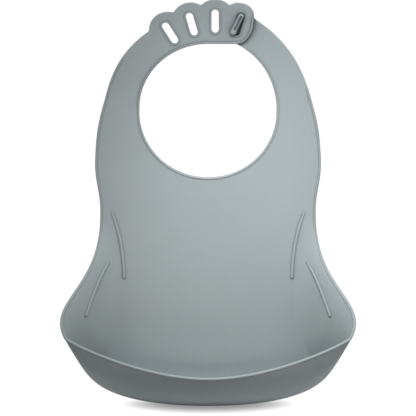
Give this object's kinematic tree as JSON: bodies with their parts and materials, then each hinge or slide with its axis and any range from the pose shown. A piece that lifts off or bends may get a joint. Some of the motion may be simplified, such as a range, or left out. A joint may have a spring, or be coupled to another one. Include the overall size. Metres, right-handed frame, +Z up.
{
  "type": "silicone bib",
  "caption": "Silicone feeding bib with a flat chest panel, a scalloped slotted strap, a toggle strap and a scoop pocket that catches food.",
  "frame": {"origin": "centre of the neck opening, in the plane of the bib's flat back", "axes": "+X across the bib towards the toggle strap's side, +Y out of the flat back towards the wearer, +Z up towards the straps; the pocket opens towards -Y"},
  "size_m": [0.2288, 0.0674, 0.3229],
  "materials": {
    "silicone": "matte, slightly translucent moulded silicone"
  },
  "bodies": {
    "lower_bib": {"lower_chest_panel": "silicone", "left_wing": "silicone", "right_wing": "silicone", "pocket_scoop": "silicone", "left_wing_bead": "silicone", "right_wing_bead": "silicone", "pocket_rim_bead": "silicone", "left_inner_rib": "silicone", "left_outer_rib": "silicone", "right_inner_rib": "silicone", "right_outer_rib": "silicone"},
    "upper_bib": {"upper_chest_panel": "silicone", "neck_bead": "silicone", "left_side_bead": "silicone", "right_side_bead": "silicone"},
    "slotted_side": {"scalloped_strap": "silicone", "scalloped_strap_bead": "silicone", "slot_borders": "silicone"},
    "toggle_side": {"toggle_strap": "silicone", "toggle_strap_bead": "silicone", "toggle_stem": "silicone", "toggle_head": "silicone"}
  },
  "joints": [
    {"name": "chest_fold", "type": "hinge", "parent": "upper_bib", "child": "lower_bib", "pos_m": [0, -0.0009, -0.082], "axis": [1, 0, 0], "range_deg": [-90, 90], "stiffness_Nm_per_rad": 0.3},
    {"name": "scalloped_strap_flex", "type": "hinge", "parent": "upper_bib", "child": "slotted_side", "pos_m": [-0.0645, -0.0022, 0.014], "axis": [1, 0, 0], "range_deg": [0, 90], "stiffness_Nm_per_rad": 0.03},
    {"name": "toggle_strap_flex", "type": "hinge", "parent": "upper_bib", "child": "toggle_side", "pos_m": [0.0645, 0, 0.014], "axis": [1, 0, 0], "range_deg": [-90, 0], "stiffness_Nm_per_rad": 0.03}
  ]
}
